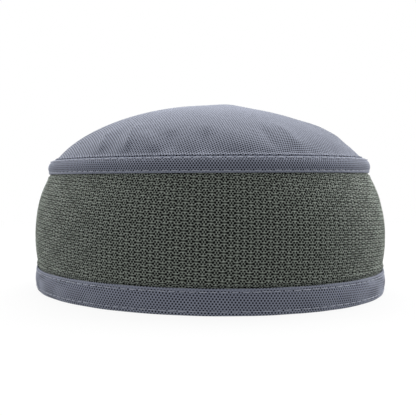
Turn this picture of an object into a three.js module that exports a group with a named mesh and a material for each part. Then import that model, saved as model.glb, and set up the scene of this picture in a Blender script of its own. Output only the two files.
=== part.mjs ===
// A brimless cloth cap, standing on its rim with its front towards -Y.
// A domed crown of woven cloth is sewn to a side band of knitted spacer mesh. A narrow trim
// covers the seam between them, and a wider trim is folded over the band's lower edge.
// Lengths are in millimetres and angles in degrees. Z = 0 is the surface that the cap stands on.
import * as THREE from "three";

// Fit and cloth: the rim's oval is 565 mm round inside
const headLength = 190;
const headWidth = 169.6;
const clothWall = 1;
const meshWall = 1.8;
const layerGap = 0.3;

// Lower trim: a strip folded over the rim, with one leg outside the mesh and one inside
const lowerTrimHeight = 12;
const innerLegHeight = 11;
const rimFoldRadius = 1.1;
const meshStandOff = 0.6;

// Side band, between the two trims
const bandTopHeight = 61.3;
const shoulderSetIn = 6.8;
const bandFootLean = 14;
const bandFootSwell = 15;
const bandHeadLean = 33;
const bandHeadSwell = 17;

// Upper trim: upright at its lower edge, then curled in over the top of the mesh
const upperTrimUpright = 2.7;
const upperTrimCurlRadius = 5.5;
const upperTrimCurl = 66;
const meshTuckAboveCurl = 0.5;

// Crown: a dome whose edge turns down inside the mesh as a seam allowance
const crownSeamStep = 1.3;
const crownSeamLift = 1.5;
const crownRise = 28.7;
const crownSteepness = 53;
const crownShoulderReach = 18.9;
const crownTopReach = 37.2;
const crownTurnReach = 1.5;
const allowanceTurn = 2;
const allowanceLength = 6;

// Soft folds of the crown: ridges where the lift is above zero, hollows where it is below. Each
// starts at a bearing from the front and drifts by its lean, between two shares of the way from
// the seam to the top, and its lift is a share of the crown's rise.
const crownFolds = [
  { bearing: -88, lean: -3, from: 0.01, to: 0.3, spread: 3.5, lift: 0.036 },
  { bearing: -76, lean: 2, from: 0.01, to: 0.34, spread: 4, lift: 0.038 },
  { bearing: -69, lean: 0, from: 0.01, to: 0.16, spread: 5, lift: -0.02 },
  { bearing: -57, lean: -12, from: 0.01, to: 0.2, spread: 4, lift: 0.03 },
  { bearing: -57, lean: 0, from: 0.08, to: 0.36, spread: 5, lift: -0.022 },
  { bearing: -44, lean: 0, from: 0.03, to: 0.34, spread: 6, lift: -0.02 },
  { bearing: -34, lean: 0, from: 0.01, to: 0.24, spread: 6, lift: 0.014 },
  { bearing: -12, lean: 0, from: 0.01, to: 0.32, spread: 5, lift: 0.026 },
  { bearing: 10, lean: 0, from: 0.02, to: 0.24, spread: 8, lift: 0.02 },
  { bearing: 27, lean: 0, from: 0.16, to: 0.46, spread: 8, lift: 0.03 },
  { bearing: 63, lean: 4, from: 0.02, to: 0.36, spread: 6, lift: 0.024 },
  { bearing: 101, lean: -3, from: 0.02, to: 0.32, spread: 5, lift: 0.026 },
  { bearing: 143, lean: 2, from: 0.02, to: 0.4, spread: 6, lift: 0.028 },
  { bearing: 185, lean: -4, from: 0.02, to: 0.34, spread: 5, lift: 0.024 },
  { bearing: 226, lean: 3, from: 0.02, to: 0.38, spread: 6, lift: 0.026 },
];
const crownPeak = { bearing: -11, radius: 0.22, spread: 0.1, lift: 0.022 };

// Fineness of the faceted surfaces
const sidesAround = 72;
const domeSteps = 9;
const bandSteps = 7;
const curlSteps = 4;
const foldSteps = 3;
const turnSteps = 3;

// Angles above outwards
const straightUp = 90;
const straightDown = -90;
const inwards = 180;

// Finishes seen in even light
const greyCloth = { color: "#767b89", roughness: 0.85, metalness: 0 };
const oliveMesh = { color: "#5c635c", roughness: 0.9, metalness: 0 };

// Radii of the faces, on the circle that the oval plan is stretched from
const stretch = (headLength - headWidth) / (headLength + headWidth);
const innerRimRadius = (headLength + headWidth) / 4;
const meshFootRadius = innerRimRadius + clothWall + layerGap + meshWall;
const rimRadius = meshFootRadius + layerGap + clothWall;
const shoulderRadius = rimRadius - shoulderSetIn;
const meshHeadRadius = shoulderRadius - clothWall - layerGap;
const allowanceRadius = meshHeadRadius - meshWall - layerGap;

const point = (radius, height) => new THREE.Vector2(radius, height);
const radians = THREE.MathUtils.degToRad;
const { smoothstep } = THREE.MathUtils;

// A point at a distance from another, in a direction given by its angle above outwards.
function stepFrom(start, distance, angle) {
  const turn = radians(angle);
  return point(
    start.x + distance * Math.cos(turn),
    start.y + distance * Math.sin(turn),
  );
}

// The points of an arc about a centre, from one angle above outwards to another.
function arcPoints(centre, radius, fromAngle, toAngle, steps) {
  return Array.from({ length: steps + 1 }, (_, step) =>
    stepFrom(centre, radius, fromAngle + ((toAngle - fromAngle) * step) / steps),
  );
}

// The closed section of a cloth of even thickness, given the line of its outer face. The inner
// face lies on the left of that line, and a line that ends on the axis keeps its end there.
function clothSection(outerLine, wall) {
  const last = outerLine.length - 1;
  const innerLine = outerLine.map((here, index) => {
    if (here.x === 0) return point(0, here.y - wall);
    const before = outerLine[Math.max(index - 1, 0)];
    const after = outerLine[Math.min(index + 1, last)];
    const arriving = here.clone().sub(before).normalize();
    const leaving = after.clone().sub(here).normalize();
    const along = arriving.clone().add(leaving).normalize();
    const across = wall / along.dot(index ? arriving : leaving);
    return point(here.x - along.y * across, here.y + along.x * across);
  });
  return [...outerLine, ...innerLine.reverse(), outerLine[0].clone()];
}

// Turns a closed section once round the Z axis, moves each point away from the middle of the
// dome by what the lift function gives, and stretches the round plan into the oval one.
function ovalRing(section, liftAt = () => 0, middleHeight = 0) {
  const geometry = new THREE.LatheGeometry(section, sidesAround);
  geometry.rotateX(Math.PI / 2);
  geometry.deleteAttribute("normal");
  geometry.deleteAttribute("uv");
  const places = geometry.getAttribute("position");
  const middle = new THREE.Vector3(0, 0, middleHeight);
  const place = new THREE.Vector3();
  for (let index = 0; index < places.count; index += 1) {
    place.fromBufferAttribute(places, index);
    const radius = Math.hypot(place.x, place.y);
    const bearing = Math.atan2(place.x, -place.y);
    const outwards = place.clone().sub(middle).normalize();
    place.addScaledVector(outwards, liftAt(radius, bearing));
    places.setXYZ(
      index,
      place.x * (1 - stretch),
      place.y * (1 + stretch),
      place.z,
    );
  }
  return geometry;
}

function namedMesh(name, geometry, finish) {
  const mesh = new THREE.Mesh(geometry, new THREE.MeshStandardMaterial(finish));
  mesh.name = name;
  return mesh;
}

// Lower trim: down its inner leg, flat along the surface, and up its outer leg.
function lowerTrim() {
  const innerCorner = point(innerRimRadius + rimFoldRadius, rimFoldRadius);
  const outerCorner = point(rimRadius - rimFoldRadius, rimFoldRadius);
  const outerLine = [
    point(innerRimRadius, innerLegHeight),
    ...arcPoints(innerCorner, rimFoldRadius, -inwards, straightDown, foldSteps),
    ...arcPoints(outerCorner, rimFoldRadius, straightDown, 0, foldSteps),
    point(rimRadius, lowerTrimHeight),
  ];
  return ovalRing(clothSection(outerLine, clothWall));
}

// Side band: upright inside each trim, and swelling outwards between them.
function sideBand() {
  const foot = point(meshFootRadius, lowerTrimHeight);
  const head = point(meshHeadRadius, bandTopHeight - layerGap);
  const swell = new THREE.CubicBezierCurve(
    foot,
    stepFrom(foot, bandFootSwell, straightUp - bandFootLean),
    stepFrom(head, bandHeadSwell, straightDown + bandHeadLean),
    head,
  );
  const outerLine = [
    point(meshFootRadius, clothWall + meshStandOff),
    ...swell.getPoints(bandSteps),
    point(meshHeadRadius, bandTopHeight + upperTrimUpright + meshTuckAboveCurl),
  ];
  return ovalRing(clothSection(outerLine, meshWall));
}

// Upper trim: up its upright face, then round its curled edge.
const curlCentre = point(
  shoulderRadius - upperTrimCurlRadius,
  bandTopHeight + upperTrimUpright,
);

function upperTrim() {
  const outerLine = [
    point(shoulderRadius, bandTopHeight),
    ...arcPoints(curlCentre, upperTrimCurlRadius, 0, upperTrimCurl, curlSteps),
  ];
  return ovalRing(clothSection(outerLine, clothWall));
}

// Crown: up its allowance, round the turn at the seam, and over the dome to its top.
const curlEnd = stepFrom(
  curlCentre,
  upperTrimCurlRadius - clothWall,
  upperTrimCurl,
);
const crownFoot = point(
  curlEnd.x - crownSeamStep,
  curlEnd.y + crownSeamLift,
);

// How far the folds and the peak raise a point of the dome.
function crownLift(radius, bearing) {
  const share = 1 - radius / crownFoot.x;
  const folds = crownFolds.map((fold) => {
    const reach = (share - fold.from) / (fold.to - fold.from);
    const apart = bearing - radians(fold.bearing + fold.lean * reach);
    const nearest = Math.atan2(Math.sin(apart), Math.cos(apart));
    const across = Math.exp(-((nearest / radians(fold.spread)) ** 2));
    const quarter = (fold.to - fold.from) / 4;
    const along =
      smoothstep(share, fold.from, fold.from + quarter) -
      smoothstep(share, fold.to - 2 * quarter, fold.to);
    return fold.lift * across * along;
  });
  const peakAngle = radians(crownPeak.bearing);
  const fromPeak = Math.hypot(
    (1 - share) * Math.sin(bearing) - crownPeak.radius * Math.sin(peakAngle),
    (1 - share) * Math.cos(bearing) - crownPeak.radius * Math.cos(peakAngle),
  );
  const peak = crownPeak.lift * Math.exp(-((fromPeak / crownPeak.spread) ** 2));
  return crownRise * folds.reduce((sum, fold) => sum + fold, peak);
}

function crown() {
  const top = point(0, crownFoot.y + crownRise);
  const allowanceTop = point(
    allowanceRadius,
    bandTopHeight + upperTrimUpright + meshTuckAboveCurl + layerGap,
  );
  const turn = new THREE.CubicBezierCurve(
    allowanceTop,
    stepFrom(allowanceTop, allowanceTurn, straightUp),
    stepFrom(crownFoot, crownTurnReach, -crownSteepness),
    crownFoot,
  );
  const dome = new THREE.CubicBezierCurve(
    crownFoot,
    stepFrom(crownFoot, crownShoulderReach, inwards - crownSteepness),
    stepFrom(top, crownTopReach, 0),
    top,
  );
  const outerLine = [
    stepFrom(allowanceTop, allowanceLength, straightDown),
    ...turn.getPoints(turnSteps),
    ...dome.getPoints(domeSteps).slice(1),
  ];
  return ovalRing(clothSection(outerLine, clothWall), crownLift, crownFoot.y - crownRise);
}

const cap = new THREE.Group();
cap.add(
  namedMesh("crown", crown(), greyCloth),
  namedMesh("upper_trim", upperTrim(), greyCloth),
  namedMesh("side_band", sideBand(), oliveMesh),
  namedMesh("lower_trim", lowerTrim(), greyCloth),
);

export default cap;
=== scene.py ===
# A brimless cloth cap on a pale floor, made up in the order in which it is sewn: the rim's
# trim, the mesh band, the trim over the crown seam, the crown, and the topstitching.
# Lengths are in metres and angles in radians, and the cap's front is towards -Y.
import math

import bpy
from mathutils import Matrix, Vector


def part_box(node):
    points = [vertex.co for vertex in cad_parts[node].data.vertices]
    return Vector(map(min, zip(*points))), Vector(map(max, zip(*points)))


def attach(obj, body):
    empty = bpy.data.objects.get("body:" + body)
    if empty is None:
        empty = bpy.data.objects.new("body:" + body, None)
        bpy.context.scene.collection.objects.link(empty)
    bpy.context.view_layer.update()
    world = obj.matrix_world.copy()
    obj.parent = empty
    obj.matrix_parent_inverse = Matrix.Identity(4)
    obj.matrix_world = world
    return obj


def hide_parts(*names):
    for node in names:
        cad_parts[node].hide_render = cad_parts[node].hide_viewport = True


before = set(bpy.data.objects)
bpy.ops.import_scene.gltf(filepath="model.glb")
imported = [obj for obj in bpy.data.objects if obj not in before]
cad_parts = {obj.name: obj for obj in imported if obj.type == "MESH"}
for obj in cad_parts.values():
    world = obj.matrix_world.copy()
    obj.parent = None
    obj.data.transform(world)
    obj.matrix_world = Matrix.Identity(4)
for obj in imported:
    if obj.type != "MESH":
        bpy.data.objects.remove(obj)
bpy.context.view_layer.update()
MM = 0.001

# Studio: the camera stands to the cap's front left, a little over half its height above the
# floor. The room is an even white tent. One softbox stands high behind the cap and a low one
# behind each side, so the cloth is lighter on top and at its ends.
CAMERA_BEARING = math.radians(-41.6)
CAMERA_DISTANCE = 397.1 * MM
CAMERA_HEIGHT = 58.8 * MM
CAMERA_DROP = math.radians(2.36)
CAMERA_PAN = math.radians(-0.22)
CAMERA_ROLL = math.radians(0.25)
SENSOR_WIDTH = 36
FOCAL_LENGTH = 61.91
LIGHTS_AIM = 50 * MM
ROOM_LIGHT = 0.43
BACKDROP_WHITE = 1.0
FLOOR_SIZE = 6.0
FLOOR_WHITE = (0.93, 0.93, 0.93, 1)
FLOOR_FADE = (0.12, 0.6)
FLOOR_GLOW = 0.9


def placed(name, data):
    """A new object with this data, linked into the scene."""
    made = bpy.data.objects.new(name, data)
    bpy.context.scene.collection.objects.link(made)
    return made


camera_data = bpy.data.cameras.new("camera")
camera_data.sensor_width = SENSOR_WIDTH
camera_data.lens = FOCAL_LENGTH
camera_data.clip_start = 10 * MM
camera_data.clip_end = 50.0
camera = placed("camera", camera_data)
camera.location = (
    CAMERA_DISTANCE * math.sin(CAMERA_BEARING),
    -CAMERA_DISTANCE * math.cos(CAMERA_BEARING),
    CAMERA_HEIGHT,
)
camera.rotation_euler = (
    math.pi / 2 - CAMERA_DROP,
    CAMERA_ROLL,
    CAMERA_BEARING + CAMERA_PAN,
)
bpy.context.scene.camera = camera


def softbox(name, bearing, elevation, distance, size, watts):
    """A square soft light that stands at a bearing from the camera and faces the cap."""
    light = bpy.data.lights.new(name, "AREA")
    light.shape = "SQUARE"
    light.size = size
    light.energy = watts
    stand = placed(name, light)
    turn = CAMERA_BEARING + math.radians(bearing)
    rise = math.radians(elevation)
    away = Vector((
        math.sin(turn) * math.cos(rise),
        -math.cos(turn) * math.cos(rise),
        math.sin(rise),
    ))
    stand.location = Vector((0, 0, LIGHTS_AIM)) + away * distance
    stand.rotation_euler = away.to_track_quat("Z", "Y").to_euler()


softbox("softbox_high", bearing=180, elevation=60, distance=1.3, size=1.0, watts=15.8)
softbox("softbox_left", bearing=-112, elevation=22, distance=1.2, size=0.9, watts=6.2)
softbox("softbox_right", bearing=112, elevation=24, distance=1.2, size=0.9, watts=10.6)


class Socket:
    """A socket of a node tree, on which sums, products and further nodes can be written."""

    def __init__(self, tree, socket=None):
        self.tree = tree
        self.socket = socket

    def node(self, kind, settings=None, inputs=None, output=0):
        """Adds a node, sets its settings, then sets or links its inputs."""
        node = self.tree.nodes.new(kind)
        for name, value in (settings or {}).items():
            setattr(node, name, value)
        for key, value in (inputs or {}).items():
            if isinstance(value, Socket):
                self.tree.links.new(value.socket, node.inputs[key])
            else:
                node.inputs[key].default_value = value
        return Socket(self.tree, node.outputs[output]) if len(node.outputs) else None

    def out(self, name):
        """Another output of the node that this socket is on."""
        return Socket(self.tree, self.socket.node.outputs[name])

    def maths(self, operation, *values):
        return self.node("ShaderNodeMath", {"operation": operation}, dict(enumerate(values)))

    def __add__(self, other):
        return self.maths("ADD", self, other)

    def __radd__(self, other):
        return self.maths("ADD", other, self)

    def __sub__(self, other):
        return self.maths("SUBTRACT", self, other)

    def __rsub__(self, other):
        return self.maths("SUBTRACT", other, self)

    def __mul__(self, other):
        return self.maths("MULTIPLY", self, other)

    def __rmul__(self, other):
        return self.maths("MULTIPLY", other, self)

    def __truediv__(self, other):
        return self.maths("DIVIDE", self, other)

    def __rtruediv__(self, other):
        return self.maths("DIVIDE", other, self)

    def __pow__(self, other):
        return self.maths("POWER", self, other)

    def wave(self, length):
        """A cosine of this length, which is 1 where this value is 0."""
        return self.maths("COSINE", self * (math.tau / length))

    def most(self, other):
        return self.maths("MAXIMUM", self, other)

    def absolute(self):
        return self.maths("ABSOLUTE", self)

    def from_nearest(self, step):
        """How far this value is from the nearest multiple of a step."""
        return self.maths("PINGPONG", self, step / 2)

    def ramp(self, low, high, at_low=0.0, at_high=1.0):
        """Goes smoothly from one value at low to another at high."""
        return self.node(
            "ShaderNodeMapRange",
            {"interpolation_type": "SMOOTHSTEP"},
            {0: self, 1: low, 2: high, 3: at_low, 4: at_high},
        )

    def mix(self, first, second):
        """The first colour where this value is 0, and the second where it is 1."""
        return self.node(
            "ShaderNodeMix",
            {"data_type": "RGBA"},
            {0: self, 6: first, 7: second},
            output=2,
        )

    def xyz(self, x=0.0, y=0.0, z=0.0):
        return self.node("ShaderNodeCombineXYZ", None, {0: x, 1: y, 2: z})

    def parts(self):
        """The X of this vector, from which out("Y") and out("Z") lead on."""
        return self.node("ShaderNodeSeparateXYZ", None, {0: self})

    def noise(self, scale, detail, output=0, dimensions="2D"):
        """Smooth noise at this place, with this many blotches to a metre."""
        return self.node(
            "ShaderNodeTexNoise",
            {"noise_dimensions": dimensions},
            {"Vector": self, "Scale": scale, "Detail": detail},
            output=output,
        )


def cleared(owner):
    """A start for the nodes of a world or material, whose own nodes are removed."""
    owner.use_nodes = True
    owner.node_tree.nodes.clear()
    return Socket(owner.node_tree)


world = bpy.data.worlds.new("studio")
bpy.context.scene.world = world
bpy.context.scene.view_settings.view_transform = "Standard"
seen = cleared(world).node("ShaderNodeLightPath")
room, white = (
    seen.node("ShaderNodeBackground", None, {"Color": (1, 1, 1, 1), "Strength": strength})
    for strength in (ROOM_LIGHT, BACKDROP_WHITE)
)
both = seen.node("ShaderNodeMixShader", None, {0: seen, 1: room, 2: white})
seen.node("ShaderNodeOutputWorld", None, {"Surface": both})

floor_paint = bpy.data.materials.new("floor_white")
spot = cleared(floor_paint).node("ShaderNodeTexCoord", output=3)
from_cap = spot.node("ShaderNodeVectorMath", {"operation": "LENGTH"}, {0: spot}, output=1)
glow = from_cap.ramp(*FLOOR_FADE, FLOOR_GLOW, 1.0)
paint = spot.node("ShaderNodeBsdfPrincipled", None, {
    "Base Color": glow.mix(FLOOR_WHITE, (0, 0, 0, 1)),
    "Roughness": 1.0,
    "Specular IOR Level": 0.0,
    "Emission Color": glow.mix((0, 0, 0, 1), (1, 1, 1, 1)),
    "Emission Strength": 1.0,
})
spot.node("ShaderNodeOutputMaterial", None, {"Surface": paint})

floor_mesh = bpy.data.meshes.new("floor")
half_floor = FLOOR_SIZE / 2
floor_mesh.from_pydata(
    [(x * half_floor, y * half_floor, 0) for x, y in ((-1, -1), (1, -1), (1, 1), (-1, 1))],
    [],
    [(0, 1, 2, 3)],
)
floor_mesh.materials.append(floor_paint)
floor = placed("floor", floor_mesh)
floor.visible_diffuse = False
floor.visible_glossy = False

# Lower trim: a strip of woven grey cloth folded in half over the rim, with one leg outside
# the mesh and one inside. Each strip of the cap is a closed section, rolled round the oval of
# the head, whose face sinks a little at the openings of its weave or knit.
CLOTH_WALL = 1.0 * MM
MESH_WALL = 1.8 * MM
LAYER_GAP = 0.3 * MM
INNER_LEG_HEIGHT = 11 * MM
RIM_FOLD_RADIUS = 1.1 * MM
EDGE_ROUND = 0.35 * MM
STITCH_DIP = {"depth": 0.2 * MM, "width": 0.8 * MM}
LOWER_STITCH_HEIGHTS = (2.1 * MM, 10.4 * MM)
LOWER_PORE_ROW = 1.07 * MM
LOWER_CLIMB = 12
LOWER_BULGE = {"depth": -0.7 * MM, "width": 4 * MM}
LOWER_BULGE_HEIGHT = 6 * MM
ROWS_PER_PORE = 2
COLUMNS_PER_PORE = 2
ROW_SHARE = 0.22
PORE_DEPTH = 0.2 * MM
HEM = 0.5 * MM
FACE_FADE = 1.0 * MM

LEG_STEP = 2.5 * MM
INSIDE_STEP = 3 * MM
MERGE_DISTANCE = 0.02 * MM

FAINTEST = 0.25
EVEN_YARN = 0.45
YARN_EDGE = (-1, 0.3)
WEAR_SCALE = 70.0
WEAR_SHARE = 0.2
SLUB_SCALE = 1400.0
SLUB_SHARE = 0.3
SLUB_EDGES = (0.25, 0.75)
BLOTCH_EDGES = (0.3, 0.7)
# Yarn colours, the lighter one a painted highlight on the raised yarn, and the pore colour, a
# painted shade within the openings.
CLOTH_YARN = (0.232, 0.252, 0.325, 1)
CLOTH_YARN_PAINTED_HIGHLIGHT = (0.44, 0.472, 0.58, 1)
CLOTH_PORE_PAINTED_SHADE = (0.004, 0.0045, 0.011, 1)

rim_high = Vector(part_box("lower_trim")[1])
RIM_RADIUS = (rim_high.x + rim_high.y) / 2
STRETCH = (rim_high.y - rim_high.x) / (rim_high.y + rim_high.x)
LOWER_TRIM_TOP = rim_high.z
INNER_RIM_RADIUS = RIM_RADIUS - 2 * CLOTH_WALL - MESH_WALL - 2 * LAYER_GAP


def climbing(rises, rise):
    """The angle at which the rows of a cloth climb by this many rises over one round."""
    return math.asin(rises * rise / (math.tau * RIM_RADIUS))


def whole_step(step, turn=0.0):
    """The step nearest to this one that fits a whole number of times round the rim."""
    girth = math.tau * RIM_RADIUS * math.cos(turn)
    return girth / round(girth / step)


def turned(across, along, turn):
    """A place on the strip, in a cloth that lies at an angle to it."""
    cosine, sine = math.cos(turn), math.sin(turn)
    return across * cosine - along * sine, across * sine + along * cosine


LOWER_WEAVE_TURN = climbing(LOWER_CLIMB, 2 * LOWER_PORE_ROW)


def on_circle(centre, radius, angle):
    """The point of a circle in a section at an angle above outwards."""
    return centre[0] + radius * math.cos(angle), centre[1] + radius * math.sin(angle)


def arc(centre, radius, start, end, steps):
    """Points of a circle in a section, from one angle to another."""
    angles = [start + (end - start) * step / steps for step in range(steps + 1)]
    return [on_circle(centre, radius, angle) for angle in angles]


def spaced(line, step):
    """The line again, with its points about one step apart and its two ends kept."""
    points = [line[0]]
    for place in line[1:]:
        while math.dist(points[-1], place) >= step:
            share = step / math.dist(points[-1], place)
            points.append(tuple(a + (b - a) * share for a, b in zip(points[-1], place)))
    if math.dist(points[-1], line[-1]) < step / 2 and len(points) > 1:
        points.pop()
    return [*points, line[-1]]


def moved_in(line, distance_at):
    """The line moved to its left, at each point by what the function gives for it."""
    moved = []
    for index, place in enumerate(line):
        before = Vector(line[max(index - 1, 0)])
        after = Vector(line[min(index + 1, len(line) - 1)])
        along = (after - before).normalized()
        distance = distance_at(place)
        moved.append((place[0] - along.y * distance, place[1] + along.x * distance))
    return moved


def dip(places, depth, width):
    """How far a face is pulled in at a point, by the seams at these places. A depth below zero
    is a bulge."""
    return lambda point: depth * max(
        math.exp(-((math.dist(point, place) / width) ** 2)) for place in places
    )


def together(*dips):
    """One dip that is the sum of these."""
    return lambda point: sum(one(point) for one in dips)


def lattice(across, along, weave):
    """A value that is 1 at each pore of a woven cloth. The pores lie in rows, every other row
    shifted by half a step, and the rows themselves show a little as grooves."""
    over, up = turned(across, along, weave["turn"])
    pores = over.wave(weave["step"]) * up.wave(2 * weave["row"])
    return pores * (1 - ROW_SHARE) + up.wave(weave["row"]) * ROW_SHARE


def clearness(across, along, weave):
    """How clearly a weave shows at a place, where it fades towards the middle of its panel."""
    if "faint within" not in weave:
        return 1.0
    from_middle = (across ** 2.0 + along ** 2.0) ** 0.5
    return from_middle.ramp(0, weave["faint within"], FAINTEST, 1.0)


def openings(weave):
    """How open a woven cloth is at a place, with no pores within the hem of a folded edge."""

    def pattern(across, along):
        open_cloth = lattice(across, along, weave).ramp(*weave["opening"])
        for edge in weave["folded at"]:
            open_cloth *= (along - edge).absolute().ramp(HEM / 2, HEM)
        return open_cloth * clearness(across, along, weave)

    return pattern


def length(line):
    """How long a line of points is."""
    return sum(math.dist(start, end) for start, end in zip(line, line[1:]))


def begin_tree(name, shape, sizes, counts):
    """Begins a Geometry Nodes tree with these inputs, and gives the first of them."""
    tree = bpy.data.node_groups.new(name, "GeometryNodeTree")
    for labels, kind in (([shape], "Geometry"), (sizes, "Float"), (counts, "Int")):
        for label in labels:
            tree.interface.new_socket(label, in_out="INPUT", socket_type="NodeSocket" + kind)
    return Socket(tree).node("NodeGroupInput")


def end_tree(start, geometry, material):
    """Ends a Geometry Nodes tree in real geometry of this material, and gives the tree."""
    real = start.node("GeometryNodeRealizeInstances", None, {"Geometry": geometry})
    finished = start.node(
        "GeometryNodeSetMaterial", None, {"Geometry": real, "Material": material}
    )
    start.tree.interface.new_socket(
        "Result", in_out="OUTPUT", socket_type="NodeSocketGeometry"
    )
    start.node("NodeGroupOutput", None, {0: finished})
    return start.tree


def strip_tree(name, pattern, material):
    """Rolls a grid of points round the oval, with a row for each point of the section, gives
    it a UV map in metres, and sinks its face where the pattern says that the cloth is open."""
    start = begin_tree(
        name,
        "Section",
        ["Rim radius", "Stretch", "Depth", "Waviness", "Blotches to a metre"],
        ["Columns", "Rows"],
    )
    radius, stretch = start.out("Rim radius"), start.out("Stretch")
    columns, rows = start.out("Columns"), start.out("Rows")
    place = start.node("GeometryNodeInputPosition")

    grid = start.node(
        "GeometryNodeMeshGrid",
        None,
        {"Size X": 1.0, "Size Y": 1.0, "Vertices X": columns + 1, "Vertices Y": rows},
    )
    shares = place.parts()
    row = start.maths("ROUND", (shares.out("Y") + 0.5) * (rows - 1))

    def of_section(kind, value):
        return start.node(
            "GeometryNodeSampleIndex",
            {"data_type": kind, "domain": "POINT"},
            {"Geometry": start, "Index": row, "Value": value},
        )

    reach, relief, stagger = (
        of_section("FLOAT", start.node("GeometryNodeInputNamedAttribute", None, {"Name": label}))
        for label in ("reach", "relief", "stagger")
    )
    section = of_section("FLOAT_VECTOR", place).parts()
    turn = ((shares + 0.5) * columns + stagger) * (math.tau / columns)
    chart = start.xyz(turn * radius, reach, relief)
    charted = start.node(
        "GeometryNodeStoreNamedAttribute",
        {"data_type": "FLOAT_VECTOR", "domain": "POINT"},
        {"Geometry": grid, "Name": "chart", "Value": chart},
    )
    mapped = start.node(
        "GeometryNodeStoreNamedAttribute",
        {"data_type": "FLOAT2", "domain": "CORNER"},
        {"Geometry": charted, "Name": "UVMap", "Value": chart},
    )
    rolled = start.node(
        "GeometryNodeSetPosition",
        None,
        {
            "Geometry": mapped,
            "Position": start.xyz(
                (section + radius) * start.maths("SINE", turn) * (1 - stretch),
                (section + radius) * start.maths("COSINE", turn) * (-1 - stretch),
                section.out("Z"),
            ),
        },
    )
    triangles = start.node(
        "GeometryNodeTriangulate", {"quad_method": "SHORTEST_DIAGONAL"}, {"Mesh": rolled}
    )
    closed = start.node(
        "GeometryNodeMergeByDistance", None, {"Geometry": triangles, "Distance": MERGE_DISTANCE}
    )

    across = start.node(
        "GeometryNodeInputNamedAttribute", {"data_type": "FLOAT_VECTOR"}, {"Name": "chart"}
    ).parts()
    sunk = pattern(across, across.out("Y")) * start.out("Depth")
    blotch = place.noise(start.out("Blotches to a metre"), 1.0, dimensions="3D")
    uneven = ((blotch - 0.5) * 2 * start.out("Waviness") - sunk) * across.out("Z")
    offset = start.node(
        "ShaderNodeVectorMath",
        {"operation": "SCALE"},
        {0: start.node("GeometryNodeInputNormal"), "Scale": uneven},
    )
    pressed = start.node("GeometryNodeSetPosition", None, {"Geometry": closed, "Offset": offset})
    unmarked = start.node(
        "GeometryNodeRemoveAttribute", None, {"Geometry": pressed, "Name": "chart"}
    )
    smooth = start.node("GeometryNodeSetShadeSmooth", None, {"Geometry": unmarked})
    return end_tree(start, smooth, material)


def set_inputs(modifier, values):
    """Sets a Geometry Nodes modifier's inputs, each found by its name in the tree."""
    for item in modifier.node_group.interface.items_tree:
        if item.item_type == "SOCKET" and item.name in values:
            modifier[item.identifier] = values[item.name]


def made_plain(obj, name):
    """The object with its modifiers worked out and removed, as one plain mesh."""
    graph = bpy.context.evaluated_depsgraph_get()
    mesh = bpy.data.meshes.new_from_object(obj.evaluated_get(graph), depsgraph=graph)
    mesh.name = name
    obj.modifiers.clear()
    obj.data = mesh
    return obj


def rolled_strip(name, before, face, after, inside, pattern, material, sizes):
    """A strip from its closed section: the outer line before, on and after the face that has
    the relief, which runs upwards, and then the inner line, which runs back."""
    loop = [*before, *face, *after, *inside, [*before, *face][0]]
    first, last = len(before), len(before) + len(face) - 1
    reaches = [0.0]
    for start, end in zip(loop, loop[1:]):
        reaches.append(reaches[-1] + math.dist(start, end))
    section = bpy.data.meshes.new(name)
    section.from_pydata([(radius - RIM_RADIUS, 0, height) for radius, height in loop], [], [])
    reliefs = [
        max(0, min(1, (reach - reaches[first]) / FACE_FADE, (reaches[last] - reach) / FACE_FADE))
        for reach in reaches
    ]
    staggers = [(index - first) % 2 / 2 for index in range(len(loop))]
    for label, values in (
        ("reach", [reach - reaches[first] for reach in reaches]),
        ("relief", reliefs),
        ("stagger", [*staggers[:-1], staggers[0]]),
    ):
        section.attributes.new(label, "FLOAT", "POINT").data.foreach_set("value", values)
    strip = placed(name, section)
    rolling = strip.modifiers.new("rolling", "NODES")
    rolling.node_group = strip_tree(name, pattern, material)
    set_inputs(rolling, {
        "Rim radius": RIM_RADIUS,
        "Stretch": STRETCH,
        "Rows": len(loop),
        **sizes,
    })
    return made_plain(strip, name)


def woven_cloth(name, weave):
    """Grey cloth of crossing yarns, a little worn in places. Its raised yarn carries a painted
    highlight, and it is painted darker towards its small pores and near black within them, for
    the shade there.
    """
    material = bpy.data.materials.new(name)
    start = cleared(material).node("ShaderNodeUVMap", {"uv_map": "UVMap"})
    across = start.parts()
    along = across.out("Y")
    pore = openings(weave)(across, along)
    clear = clearness(across, along, weave)
    # The crossings are painted lighter than the yarn near the pores and in the grooves between
    # rows: a painted highlight on the raised yarn and painted shade in the hollows.
    crossing = lattice(across, along, weave).ramp(*YARN_EDGE, 1.0, 0.0) * clear
    crossing += (1 - clear) * EVEN_YARN
    worn = start.noise(WEAR_SCALE, detail=3.0).ramp(*BLOTCH_EDGES) * WEAR_SHARE
    slub = start.noise(SLUB_SCALE, detail=2.0).ramp(*SLUB_EDGES) * SLUB_SHARE
    shade = (worn + slub + (1 - WEAR_SHARE - SLUB_SHARE)) * crossing
    yarns = shade.mix(CLOTH_YARN, CLOTH_YARN_PAINTED_HIGHLIGHT)
    height = start.node("ShaderNodeBump", None, {
        "Strength": 0.4,
        "Distance": 0.14 * MM,
        "Height": crossing - pore,
    })
    # The pores are painted near black, a painted shade for the hollow behind each opening.
    surface = start.node("ShaderNodeBsdfPrincipled", None, {
        "Base Color": pore.mix(yarns, CLOTH_PORE_PAINTED_SHADE),
        "Roughness": 0.86,
        "Normal": height,
        "Sheen Weight": 0.25,
        "Sheen Roughness": 0.5,
        "Sheen Tint": (0.86, 0.89, 1.0, 1),
        "Specular IOR Level": 0.2,
    })
    start.node("ShaderNodeOutputMaterial", None, {"Surface": surface})
    return material


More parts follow.
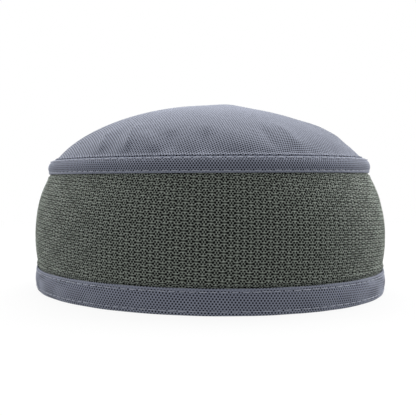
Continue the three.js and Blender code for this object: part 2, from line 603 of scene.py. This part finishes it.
fold_inner = (INNER_RIM_RADIUS + RIM_FOLD_RADIUS, RIM_FOLD_RADIUS)
fold_outer = (RIM_RADIUS - RIM_FOLD_RADIUS, RIM_FOLD_RADIUS)
lower_rows = [(RIM_RADIUS, height) for height in LOWER_STITCH_HEIGHTS]
inner_leg = spaced(
    [(INNER_RIM_RADIUS, INNER_LEG_HEIGHT), (INNER_RIM_RADIUS, RIM_FOLD_RADIUS)], LEG_STEP
)
fold_line = arc(fold_inner, RIM_FOLD_RADIUS, math.pi, 1.5 * math.pi, steps=4)
outer_corner = arc(fold_outer, RIM_FOLD_RADIUS, 1.5 * math.pi, 2 * math.pi, steps=12)
outer_leg = [*outer_corner, (RIM_RADIUS, LOWER_TRIM_TOP - EDGE_ROUND)]
edge_centre = (RIM_RADIUS - EDGE_ROUND, LOWER_TRIM_TOP - EDGE_ROUND)
lower_edge = arc(edge_centre, EDGE_ROUND, 0, math.pi / 2, steps=3)
lower_inside = moved_in(
    [*inner_leg[:-1], *fold_line, *outer_corner[::3], *spaced(outer_leg[-2:], INSIDE_STEP)[1:]],
    lambda point: CLOTH_WALL,
)
lower_shape = together(
    dip(lower_rows, **STITCH_DIP), dip([(RIM_RADIUS, LOWER_BULGE_HEIGHT)], **LOWER_BULGE)
)
lower_face = [
    (radius, max(height, 0))
    for radius, height in moved_in(
        spaced(outer_leg, LOWER_PORE_ROW / ROWS_PER_PORE), lower_shape
    )
]
lower_weave = {
    "step": whole_step(1.5 * MM, LOWER_WEAVE_TURN),
    "row": LOWER_PORE_ROW,
    "turn": LOWER_WEAVE_TURN,
    "opening": (-0.1, 0.4),
    "folded at": [length(outer_leg)],
}
lower_trim = rolled_strip(
    "rim_trim",
    before=[*inner_leg[:-1], *fold_line],
    face=lower_face,
    after=lower_edge[1:],
    inside=list(reversed(lower_inside)),
    pattern=openings(lower_weave),
    material=woven_cloth("lower_trim_cloth", lower_weave),
    sizes={
        "Depth": PORE_DEPTH,
        "Waviness": 0.15 * MM,
        "Blotches to a metre": 60.0,
        "Columns": COLUMNS_PER_PORE * round(math.tau * RIM_RADIUS / lower_weave["step"]),
    },
)
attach(lower_trim, "root")
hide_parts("lower_trim")

# Side band: a strip of olive spacer mesh, two knitted faces held apart by fine yarns. It
# stands between the trims and swells outwards over the head. Its front face is knitted in
# staggered rows of rings, with seven pores to a ring and a slot between two rings.
BAND_FOOT = CLOTH_WALL + 0.6 * MM
BAND_FOOT_LEAN = math.radians(14)
BAND_FOOT_SWELL = 15 * MM
BAND_HEAD_LEAN = math.radians(33)
BAND_HEAD_SWELL = 17 * MM
RING_ROW = 2.15 * MM
RING_CLIMB = 6
KNIT_TURN = climbing(RING_CLIMB, 2 * RING_ROW)
RING_STEP = whole_step(5.78 * MM, KNIT_TURN)
KNIT_STEP = RING_STEP / 4
KNIT_ROW = RING_ROW / 2
CENTRE_PORE = 0.45 * MM
MAIN_PORE = 0.65 * MM
SIDE_PORE = 0.52 * MM
SIDE_PORE_RISE = 0.94 * MM
PORE_EDGE = (0.8, 1.1)
SLOT_HALF_HEIGHT = 0.32 * MM
SLOT_FLAT_HALF_HEIGHT = 0.4 * SLOT_HALF_HEIGHT
SLOT_FLAT_REACH = 0.8 * KNIT_STEP
SLOT_OPENING = 0.75
ARC_REACH = 2.3 * MM
ARC_RISE = 0.72 * MM
ARC_WIDTH = 0.3
ARC_HEIGHT_SHARE = 0.6
KNIT_DEPTH = 0.4 * MM
SEAM_BULGE = {"depth": -1.0 * MM, "width": 1.1 * MM}
SEAM_BULGE_REACH = 1.9 * MM
KNIT_ROW_SHARE = 0.4

WOBBLE_SCALE = 420.0
WOBBLE = (0.5 * MM, 0.35 * MM, 0)
FUZZ_SCALE = 800.0
FUZZ_SHARE = 0.25
# Yarn colours, the lighter one a painted highlight on the arcs of yarn, and the pore colour, a
# painted shade within the openings.
MESH_YARN = (0.182, 0.208, 0.178, 1)
MESH_YARN_PAINTED_HIGHLIGHT = (0.55, 0.605, 0.546, 1)
MESH_PORE_PAINTED_SHADE = (0.001, 0.0012, 0.001, 1)

trim_low, trim_high = (Vector(corner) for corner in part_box("upper_trim"))
band_high = Vector(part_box("side_band")[1])
SHOULDER_RADIUS = (trim_high.x + trim_high.y) / 2
UPPER_TRIM_FOOT = trim_low.z
FOOT_RADIUS = RIM_RADIUS - CLOTH_WALL - LAYER_GAP
HEAD_RADIUS = SHOULDER_RADIUS - CLOTH_WALL - LAYER_GAP


def bezier(first, first_handle, last_handle, last, steps):
    """Points of a cubic curve in a section."""
    points = []
    for step in range(steps + 1):
        share = step / steps
        rest = 1 - share
        points.append(tuple(
            rest**3 * a + 3 * rest**2 * share * b + 3 * rest * share**2 * c + share**3 * d
            for a, b, c, d in zip(first, first_handle, last_handle, last)
        ))
    return points


def knit(across, along):
    """How open the knit is at a place, from 0 to 1, and how far its arcs of yarn stand out
    there, with the grooves between its rows taken off."""
    over, up = turned(across, along, KNIT_TURN)
    to_side = over.from_nearest(RING_STEP)
    to_row = up.from_nearest(2 * RING_ROW)
    pores = []
    arcs = []
    for side, row in ((to_side, to_row), (RING_STEP / 2 - to_side, RING_ROW - to_row)):
        for place, radius in (
            ((0.0, 0.0), CENTRE_PORE),
            ((KNIT_STEP, 0.0), MAIN_PORE),
            ((KNIT_STEP / 2, SIDE_PORE_RISE), SIDE_PORE),
        ):
            apart = ((side - place[0]) ** 2.0 + (row - place[1]) ** 2.0) ** 0.5
            pores.append((apart / radius).ramp(*PORE_EDGE, 1.0, 0.0))
        from_slot = RING_STEP / 2 - side
        slot = row.ramp(SLOT_FLAT_HALF_HEIGHT, SLOT_HALF_HEIGHT, SLOT_OPENING, 0.0)
        pores.append(slot * from_slot.ramp(SLOT_FLAT_REACH, KNIT_STEP, 1.0, 0.0))
        oval = ((from_slot / ARC_REACH) ** 2.0 + (row / ARC_RISE) ** 2.0) ** 0.5
        arcs.append((oval - 1.0).absolute().ramp(0.0, ARC_WIDTH, 1.0, 0.0))
    opening = pores[0]
    for other in pores[1:]:
        opening = opening.most(other)
    return opening, arcs[0].most(arcs[1]) - up.wave(RING_ROW) * KNIT_ROW_SHARE


def spacer_mesh(name):
    """The knitted face: olive yarn with a painted highlight where its arcs stand out and painted
    shade in the grooves between rows, and pores painted nearly black for the shade within them.
    """
    material = bpy.data.materials.new(name)
    start = cleared(material).node("ShaderNodeUVMap", {"uv_map": "UVMap"})
    wobble = start.node(
        "ShaderNodeVectorMath",
        {"operation": "SUBTRACT"},
        {0: start.noise(WOBBLE_SCALE, detail=1.0, output=1), 1: (0.5, 0.5, 0.5)},
    )
    across = start.node(
        "ShaderNodeVectorMath",
        {"operation": "MULTIPLY_ADD"},
        {0: wobble, 1: WOBBLE, 2: start},
    ).parts()
    # The arcs of yarn get a painted highlight, the grooves between rows painted shade, and the
    # pores are painted near black for the shade within them.
    opening, arc_yarn = knit(across, across.out("Y"))
    fuzz = start.noise(FUZZ_SCALE, detail=2.0).ramp(*BLOTCH_EDGES)
    shade = arc_yarn * (1 - FUZZ_SHARE) + fuzz * FUZZ_SHARE
    yarns = shade.mix(MESH_YARN, MESH_YARN_PAINTED_HIGHLIGHT)
    height = start.node("ShaderNodeBump", None, {
        "Strength": 0.7,
        "Distance": 0.2 * MM,
        "Height": arc_yarn * ARC_HEIGHT_SHARE - opening,
    })
    surface = start.node("ShaderNodeBsdfPrincipled", None, {
        "Base Color": opening.mix(yarns, MESH_PORE_PAINTED_SHADE),
        "Roughness": 0.9,
        "Normal": height,
        "Sheen Weight": 0.2,
        "Sheen Roughness": 0.5,
        "Sheen Tint": (0.92, 1.0, 0.9, 1),
        "Specular IOR Level": 0.2,
    })
    start.node("ShaderNodeOutputMaterial", None, {"Surface": surface})
    return material


band_foot = (FOOT_RADIUS, LOWER_TRIM_TOP)
band_head = (HEAD_RADIUS, UPPER_TRIM_FOOT - LAYER_GAP)
foot_handle = (
    band_foot[0] + BAND_FOOT_SWELL * math.sin(BAND_FOOT_LEAN),
    band_foot[1] + BAND_FOOT_SWELL * math.cos(BAND_FOOT_LEAN),
)
head_handle = (
    band_head[0] + BAND_HEAD_SWELL * math.sin(BAND_HEAD_LEAN),
    band_head[1] - BAND_HEAD_SWELL * math.cos(BAND_HEAD_LEAN),
)
swell = (band_foot, foot_handle, head_handle, band_head)
band_start = [(FOOT_RADIUS, BAND_FOOT), (FOOT_RADIUS, (BAND_FOOT + LOWER_TRIM_TOP) / 2)]
band_end = [(HEAD_RADIUS, band_high.z)]
band_inside = moved_in(
    [*band_start, *bezier(*swell, steps=9), *band_end], lambda point: MESH_WALL
)
side_band = rolled_strip(
    "mesh_band",
    before=band_start,
    face=moved_in(
        spaced(bezier(*swell, steps=400), KNIT_ROW / ROWS_PER_PORE),
        dip(
            [
                (band_foot[0], band_foot[1] + SEAM_BULGE_REACH),
                (band_head[0], band_head[1] - SEAM_BULGE_REACH),
            ],
            **SEAM_BULGE,
        ),
    ),
    after=band_end,
    inside=list(reversed(band_inside)),
    pattern=lambda across, along: knit(across, along)[0],
    material=spacer_mesh("spacer_mesh"),
    sizes={
        "Depth": KNIT_DEPTH,
        "Waviness": 0.3 * MM,
        "Blotches to a metre": 45.0,
        "Columns": COLUMNS_PER_PORE * round(math.tau * RIM_RADIUS / KNIT_STEP),
    },
)
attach(side_band, "root")
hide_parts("side_band")
band_line = [*band_start, *bezier(*swell, steps=20), *band_end]

# Upper trim: a narrow strip of the woven cloth over the crown seam. Its lower edge lies close
# against the top of the mesh, and its upper edge curls in towards the crown.
CURL_RADIUS = 5.5 * MM
CURL_UPRIGHT = 2.7 * MM
CURL_TURN = math.radians(56)
UPPER_STITCH_TURN = math.radians(45)
UPPER_STITCH_HEIGHT = 1.0 * MM
UPPER_PORE_ROW = 0.99 * MM
UPPER_TUCK = {"depth": 0.45 * MM, "width": 1.8 * MM}
UPPER_INSIDE_STEP = 1.5 * MM

curl_centre = (SHOULDER_RADIUS - CURL_RADIUS, UPPER_TRIM_FOOT + CURL_UPRIGHT)
upper_line = [
    (SHOULDER_RADIUS, UPPER_TRIM_FOOT + EDGE_ROUND),
    *arc(curl_centre, CURL_RADIUS, 0, CURL_TURN, steps=30),
]
upper_foot = arc(
    (SHOULDER_RADIUS - UPPER_TUCK["depth"] - EDGE_ROUND, UPPER_TRIM_FOOT + EDGE_ROUND),
    EDGE_ROUND,
    -math.pi / 2,
    0,
    steps=3,
)
curl_end = on_circle(curl_centre, CURL_RADIUS - EDGE_ROUND, CURL_TURN)
upper_edge = arc(curl_end, EDGE_ROUND, CURL_TURN, CURL_TURN + math.pi / 2, steps=3)
upper_rows = [
    (SHOULDER_RADIUS, UPPER_TRIM_FOOT + UPPER_STITCH_HEIGHT),
    on_circle(curl_centre, CURL_RADIUS, UPPER_STITCH_TURN),
]
upper_shape = together(dip(upper_rows, **STITCH_DIP), dip([upper_line[0]], **UPPER_TUCK))
upper_inside = moved_in(spaced(upper_line, UPPER_INSIDE_STEP), lambda point: CLOTH_WALL)
upper_weave = {
    "step": whole_step(1.47 * MM),
    "row": UPPER_PORE_ROW,
    "turn": 0.0,
    "opening": (-0.2, 0.3),
    "folded at": [0.0, length(upper_line)],
}
upper_trim = rolled_strip(
    "seam_trim",
    before=upper_foot[:-1],
    face=moved_in(spaced(upper_line, UPPER_PORE_ROW / ROWS_PER_PORE), upper_shape),
    after=upper_edge[1:],
    inside=list(reversed(upper_inside)),
    pattern=openings(upper_weave),
    material=woven_cloth("upper_trim_cloth", upper_weave),
    sizes={
        "Depth": PORE_DEPTH,
        "Waviness": 0.15 * MM,
        "Blotches to a metre": 80.0,
        "Columns": COLUMNS_PER_PORE * round(math.tau * RIM_RADIUS / upper_weave["step"]),
    },
)
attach(upper_trim, "root")
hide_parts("upper_trim")

# Crown: one flat-cut panel of the woven cloth, eased into a dome. Its edge turns down inside
# the mesh as a seam allowance, a small roll of cloth stands over the seam, and the spare
# cloth lies in soft folds above it.
CROWN_SEAM_TURN = math.radians(66)
CROWN_SEAM_STEP = 1.3 * MM
CROWN_SEAM_LIFT = 1.0 * MM
CROWN_RISE = 29.2 * MM
CROWN_STEEPNESS = math.radians(53)
CROWN_SHOULDER_REACH = 18.9 * MM
CROWN_TOP_REACH = 37.2 * MM
ALLOWANCE_TURN = 2 * MM
ALLOWANCE_LENGTH = 6 * MM
ALLOWANCE_GAP = 0.05 * MM
SEAM_ROLL_RADIUS = 1.1 * MM
SEAM_ROLL_START = math.radians(-50)
SEAM_ROLL_PROUD = 0.8 * MM
SEAM_ROLL_WIDTH = 0.8 * MM
SEAM_ROLL_GATHERS = 144
SEAM_GATHER = 0.3
PUCKER_DEPTH = 0.14 * MM
PUCKER_REACH = 5 * MM
PUCKERS_ROUND = 61
SLOW_PUCKERS = {"share": 0.6, "start": 2.3, "round": 37}
CROWN_WEAVE = {
    "step": 1.45 * MM,
    "row": 1.05 * MM,
    "turn": math.radians(65.6),
    "opening": (-0.25, 0.3),
    "folded at": [],
    "faint within": 80 * MM,
}
CROWN_AROUND = 432
ALLOWANCE_STEP = 2 * MM
TURN_STEP = 0.5 * MM
NEAR_SEAM = 3 * MM
NEAR_SEAM_STEP = 0.4 * MM
DOME_STEP = 2 * MM
SEAM_HOLD = (-0.015, -0.003)
CROWN_PEAK = {"bearing": -9, "radius": 0.25, "spread": 0.1, "lift": 0.03}

# Ridges have a lift above zero and hollows one below. Bearings, leans and spreads are in
# degrees, the others are shares of the way from the seam to the top and of the crown's rise.
CROWN_FOLDS = (
    {"bearing": -83, "lean": -8, "from": 0.01, "to": 0.30, "spread": 3.5, "lift": 0.024},
    {"bearing": -71, "lean": -6, "from": 0.01, "to": 0.34, "spread": 4, "lift": 0.026},
    {"bearing": -60, "lean": -11, "from": 0.01, "to": 0.20, "spread": 4, "lift": 0.020},
    {"bearing": -57, "lean": -2, "from": 0.00, "to": 0.20, "spread": 4, "lift": -0.022},
    {"bearing": -45, "lean": 0, "from": -0.02, "to": 0.22, "spread": 4, "lift": -0.024},
    {"bearing": -34, "lean": 0, "from": 0.01, "to": 0.24, "spread": 6, "lift": 0.014},
    {"bearing": -12, "lean": 0, "from": 0.01, "to": 0.32, "spread": 5, "lift": 0.026},
    {"bearing": 10, "lean": 0, "from": 0.02, "to": 0.24, "spread": 8, "lift": 0.020},
    {"bearing": 27, "lean": 0, "from": 0.08, "to": 0.40, "spread": 10, "lift": 0.034},
    {"bearing": 63, "lean": 4, "from": 0.02, "to": 0.36, "spread": 6, "lift": 0.024},
    {"bearing": 101, "lean": -3, "from": 0.02, "to": 0.32, "spread": 5, "lift": 0.026},
    {"bearing": 143, "lean": 2, "from": 0.02, "to": 0.40, "spread": 6, "lift": 0.028},
    {"bearing": 185, "lean": -4, "from": 0.02, "to": 0.34, "spread": 5, "lift": 0.024},
    {"bearing": 226, "lean": 3, "from": 0.02, "to": 0.38, "spread": 6, "lift": 0.026},
)

# Narrow creases that lie along some of the folds or between them, in the same terms.
CROWN_CREASES = (
    {"bearing": -82, "lean": -9, "from": 0.00, "to": 0.24, "spread": 1.5, "lift": 0.028},
    {"bearing": -77, "lean": -8, "from": 0.00, "to": 0.26, "spread": 2.0, "lift": -0.018},
    {"bearing": -71, "lean": -7, "from": 0.00, "to": 0.30, "spread": 1.3, "lift": 0.038},
    {"bearing": -60, "lean": -11, "from": 0.00, "to": 0.22, "spread": 1.8, "lift": 0.012},
    {"bearing": -56, "lean": -2, "from": 0.00, "to": 0.19, "spread": 1.8, "lift": -0.022},
    {"bearing": -45, "lean": 1, "from": -0.01, "to": 0.21, "spread": 1.8, "lift": -0.022},
    {"bearing": -22, "lean": 1, "from": 0.02, "to": 0.26, "spread": 2.0, "lift": -0.022},
    {"bearing": -12, "lean": 0, "from": 0.01, "to": 0.30, "spread": 1.8, "lift": 0.010},
)


def smoothly(value, low, high):
    """Goes from 0 at low to 1 at high."""
    share = min(max((value - low) / (high - low), 0), 1)
    return share * share * (3 - 2 * share)


seam_edge = on_circle(curl_centre, CURL_RADIUS - CLOTH_WALL, CROWN_SEAM_TURN)
crown_foot = (seam_edge[0] - CROWN_SEAM_STEP, seam_edge[1] + CROWN_SEAM_LIFT)
crown_top = (0.0, crown_foot[1] + CROWN_RISE)
allowance_top = (HEAD_RADIUS - MESH_WALL - ALLOWANCE_GAP, band_high.z + LAYER_GAP)
allowance_end = (allowance_top[0], allowance_top[1] - ALLOWANCE_LENGTH)


def crown_lift(radius, bearing):
    """How far the folds and the peak raise a point of the dome. The allowance, below the
    seam, is held by its stitches and stays where it is."""
    share = 1 - radius / crown_foot[0]
    lift = 0.0
    for fold in (*CROWN_FOLDS, *CROWN_CREASES):
        reach = (share - fold["from"]) / (fold["to"] - fold["from"])
        apart = bearing - math.radians(fold["bearing"] + fold["lean"] * reach)
        nearest = math.atan2(math.sin(apart), math.cos(apart))
        across = math.exp(-((nearest / math.radians(fold["spread"])) ** 2))
        quarter = (fold["to"] - fold["from"]) / 4
        along = smoothly(share, fold["from"], fold["from"] + quarter)
        along -= smoothly(share, fold["to"] - 2 * quarter, fold["to"])
        lift += fold["lift"] * across * along
    peak_angle = math.radians(CROWN_PEAK["bearing"])
    from_peak = math.hypot(
        (1 - share) * math.sin(bearing) - CROWN_PEAK["radius"] * math.sin(peak_angle),
        (1 - share) * math.cos(bearing) - CROWN_PEAK["radius"] * math.cos(peak_angle),
    )
    lift += CROWN_PEAK["lift"] * math.exp(-((from_peak / CROWN_PEAK["spread"]) ** 2))
    return CROWN_RISE * lift * smoothly(share, *SEAM_HOLD)


def seam_lift(from_seam, bearing):
    """How far a point stands out close to the seam, by the roll of cloth there and by puckers
    that fade upwards. The distance from the foot of the dome is along the cloth."""
    gather = 1 + SEAM_GATHER * math.sin(SEAM_ROLL_GATHERS * bearing)
    roll = math.exp(-((from_seam / SEAM_ROLL_WIDTH) ** 2)) * gather
    slow = math.sin(SLOW_PUCKERS["start"] + SLOW_PUCKERS["round"] * bearing)
    pucker = math.sin(PUCKERS_ROUND * bearing) + SLOW_PUCKERS["share"] * slow
    fade = smoothly(from_seam, 0, PUCKER_REACH / 4) - smoothly(from_seam, 0, PUCKER_REACH)
    return SEAM_ROLL_PROUD * roll + PUCKER_DEPTH * pucker * fade


def crown_panel(name, material):
    """The crown's outer face as rings of points, thickened inwards."""
    dome = bezier(
        crown_foot,
        (
            crown_foot[0] - CROWN_SHOULDER_REACH * math.cos(CROWN_STEEPNESS),
            crown_foot[1] + CROWN_SHOULDER_REACH * math.sin(CROWN_STEEPNESS),
        ),
        (CROWN_TOP_REACH, crown_top[1]),
        crown_top,
        steps=600,
    )
    roll_end = math.pi / 2 - CROWN_STEEPNESS
    roll_centre = (
        crown_foot[0] - SEAM_ROLL_RADIUS * math.cos(roll_end),
        crown_foot[1] - SEAM_ROLL_RADIUS * math.sin(roll_end),
    )
    roll = arc(roll_centre, SEAM_ROLL_RADIUS, SEAM_ROLL_START, roll_end, steps=8)
    turn = bezier(
        allowance_top,
        (allowance_top[0], allowance_top[1] + ALLOWANCE_TURN),
        (
            roll[0][0] + SEAM_ROLL_RADIUS * math.sin(SEAM_ROLL_START),
            roll[0][1] - SEAM_ROLL_RADIUS * math.cos(SEAM_ROLL_START),
        ),
        roll[0],
        steps=60,
    )
    allowance = spaced([allowance_end, allowance_top], ALLOWANCE_STEP)
    near_seam = [place for place in dome if place[1] < crown_foot[1] + NEAR_SEAM]
    above = dome[len(near_seam) - 1:]
    below = [*allowance[:-1], *spaced(turn, TURN_STEP)[:-1], *roll[:-1]]
    line = [*below, *spaced(near_seam, NEAR_SEAM_STEP)[:-1], *spaced(above, DOME_STEP)[:-1]]
    from_top = [math.dist(line[-1], crown_top)]
    for start, end in zip(reversed(line), list(reversed(line))[1:]):
        from_top.append(from_top[-1] + math.dist(start, end))
    reaches = list(reversed(from_top))
    seam_reach = reaches[len(below)]

    middle = Vector((0, 0, crown_foot[1] - CROWN_RISE))
    points = []
    charts = []
    for (radius, height), reach in zip(line, reaches):
        for step in range(CROWN_AROUND):
            bearing = math.tau * step / CROWN_AROUND
            flat = Vector((math.sin(bearing), -math.cos(bearing), 0))
            place = flat * radius + Vector((0, 0, height))
            away = (place - middle).normalized()
            lift = crown_lift(radius, bearing) + seam_lift(seam_reach - reach, bearing)
            place += away * lift
            points.append((place.x * (1 - STRETCH), place.y * (1 + STRETCH), place.z))
            charts.append((flat.x * reach, flat.y * reach))
    faces = []
    for row in range(len(line) - 1):
        for step in range(CROWN_AROUND):
            here = row * CROWN_AROUND + step
            beside = row * CROWN_AROUND + (step + 1) % CROWN_AROUND
            faces.append((here, beside, beside + CROWN_AROUND, here + CROWN_AROUND))
    last_row = (len(line) - 1) * CROWN_AROUND
    points.append((0, 0, crown_top[1] + crown_lift(0, 0)))
    charts.append((0, 0))
    for step in range(CROWN_AROUND):
        beside = (step + 1) % CROWN_AROUND
        faces.append((last_row + step, last_row + beside, len(points) - 1))

    mesh = bpy.data.meshes.new(name)
    mesh.from_pydata(points, [], faces)
    chart = mesh.uv_layers.new(name="UVMap")
    for loop in mesh.loops:
        chart.data[loop.index].uv = charts[loop.vertex_index]
    mesh.polygons.foreach_set("use_smooth", [True] * len(mesh.polygons))
    mesh.materials.append(material)
    panel = placed(name, mesh)
    thickness = panel.modifiers.new("thickness", "SOLIDIFY")
    thickness.thickness = CLOTH_WALL
    thickness.offset = -1
    thickness.use_even_offset = True
    return made_plain(panel, name)


crown = crown_panel("crown_panel", woven_cloth("crown_cloth", CROWN_WEAVE))
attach(crown, "root")
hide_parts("crown")

# Topstitching: a row of lockstitch in grey thread along each edge of both trims. Each stitch
# shows as a short round bow of thread that dives into the cloth at both ends.
THREAD_RADIUS = 0.24 * MM
THREAD_COLOUR = (0.54, 0.57, 0.67, 1)
THREAD_SHADE = (0.38, 0.405, 0.49, 1)
THREAD_RISE = 0.12 * MM
THREAD_FUZZ_SCALE = 2500.0
STITCH_STEP = 4.6 * MM
RIM_STITCH = 3.4 * MM
SEAM_STITCH = 3.0 * MM
STITCH_BOW = 0.25 * MM
BOW_HANDLE = 0.8
STITCH_SWAY = 0.07
SWAY_SEED = 0
STITCH_PULL = (0.75, 1.05)
PULL_SEED = 7


def stitch_tree(material):
    """Lays bowed stitches in a row round the oval, each turned to the face that it is in."""
    start = begin_tree(
        "topstitch_row",
        "Row",
        ["Radius", "Height", "Face tilt", "Stitch length", "Bow", "Thread", "Stretch"],
        ["Count", "Seed"],
    )
    stretch, bow = start.out("Stretch"), start.out("Bow")
    half = start.out("Stitch length") / 2

    circle = start.node(
        "GeometryNodeCurvePrimitiveCircle",
        {"mode": "RADIUS"},
        {"Resolution": 360, "Radius": start.out("Radius")},
    )
    seam = start.node("GeometryNodeTransform", None, {
        "Geometry": circle,
        "Translation": start.xyz(z=start.out("Height")),
        "Scale": start.xyz(1 - stretch, 1 + stretch, 1.0),
    })
    spots = start.node(
        "GeometryNodeCurveToPoints",
        {"mode": "COUNT"},
        {"Curve": seam, "Count": start.out("Count")},
    )
    along = spots.out("Tangent")
    outwards = start.node(
        "ShaderNodeVectorMath", {"operation": "CROSS_PRODUCT"}, {0: along, 1: (0, 0, 1)}
    )
    tilt = start.out("Face tilt")
    face = start.node("ShaderNodeVectorMath", {"operation": "MULTIPLY_ADD"}, {
        0: outwards,
        1: start.xyz(*[tilt.maths("COSINE", tilt)] * 3),
        2: start.xyz(z=tilt.maths("SINE", tilt)),
    })

    def chance(low, high, seed):
        return start.node(
            "FunctionNodeRandomValue",
            {"data_type": "FLOAT"},
            {2: low, 3: high, "Seed": start.out("Seed") + seed},
            output=1,
        )

    slanted = start.node(
        "ShaderNodeVectorMath",
        {"operation": "ADD"},
        {0: along, 1: start.xyz(z=chance(-STITCH_SWAY, STITCH_SWAY, SWAY_SEED))},
    )
    turned = start.node(
        "FunctionNodeAlignRotationToVector", {"axis": "X"}, {"Vector": slanted}
    )
    faced = start.node(
        "FunctionNodeAlignRotationToVector",
        {"axis": "Z", "pivot_axis": "X"},
        {"Rotation": turned, "Vector": face},
    )
    bowed = start.node("GeometryNodeCurvePrimitiveBezierSegment", None, {
        "Resolution": 6,
        "Start": start.xyz(-1 * half, z=-1 * bow),
        "Start Handle": start.xyz(-BOW_HANDLE * half, z=bow),
        "End Handle": start.xyz(BOW_HANDLE * half, z=bow),
        "End": start.xyz(half, z=-1 * bow),
    })
    round_thread = start.node(
        "GeometryNodeCurvePrimitiveCircle",
        {"mode": "RADIUS"},
        {"Resolution": 6, "Radius": start.out("Thread")},
    )
    stitch = start.node(
        "GeometryNodeCurveToMesh",
        None,
        {"Curve": bowed, "Profile Curve": round_thread, "Fill Caps": True},
    )
    laid = start.node("GeometryNodeInstanceOnPoints", None, {
        "Points": spots,
        "Instance": start.node("GeometryNodeSetShadeSmooth", None, {"Geometry": stitch}),
        "Rotation": faced,
        "Scale": chance(*STITCH_PULL, PULL_SEED),
    })
    return end_tree(start, laid, material)


def sewing_thread(name):
    """Spun polyester thread, a little lighter than the cloth and faintly fuzzy."""
    material = bpy.data.materials.new(name)
    start = cleared(material).node("ShaderNodeTexCoord", output=3)
    fuzz = start.noise(THREAD_FUZZ_SCALE, detail=2.0, dimensions="3D")
    height = start.node(
        "ShaderNodeBump", None, {"Strength": 0.4, "Distance": 0.05 * MM, "Height": fuzz}
    )
    surface = start.node("ShaderNodeBsdfPrincipled", None, {
        "Base Color": fuzz.ramp(*BLOTCH_EDGES).mix(THREAD_SHADE, THREAD_COLOUR),
        "Roughness": 0.65,
        "Normal": height,
        "Sheen Weight": 0.3,
    })
    start.node("ShaderNodeOutputMaterial", None, {"Surface": surface})
    return material


stitch_nodes = stitch_tree(sewing_thread("sewing_thread"))


def stitch_row(name, place, tilt, stitch, seed):
    """One row of stitches at a place of the section, on a face that tilts up by an angle."""
    row = placed(name, bpy.data.meshes.new(name))
    laying = row.modifiers.new("laying", "NODES")
    laying.node_group = stitch_nodes
    set_inputs(laying, {
        "Radius": place[0] + THREAD_RISE * math.cos(tilt),
        "Height": place[1] + THREAD_RISE * math.sin(tilt),
        "Face tilt": tilt,
        "Stitch length": stitch,
        "Bow": STITCH_BOW,
        "Thread": THREAD_RADIUS,
        "Stretch": STRETCH,
        "Count": round(math.tau * place[0] / STITCH_STEP),
        "Seed": seed,
    })
    made_plain(row, name)
    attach(row, "root")


def on_face(row, shape):
    """The place where a row of stitches meets the face that its cloth is shaped to."""
    return (row[0] - shape(row), row[1])


stitch_row("rim_stitches_low", on_face(lower_rows[0], lower_shape), 0, RIM_STITCH, seed=1)
stitch_row("rim_stitches_high", on_face(lower_rows[1], lower_shape), 0, RIM_STITCH, seed=2)
stitch_row("seam_stitches_low", on_face(upper_rows[0], upper_shape), 0, SEAM_STITCH, seed=3)
stitch_row("seam_stitches_high", upper_rows[1], UPPER_STITCH_TURN, SEAM_STITCH, seed=4)
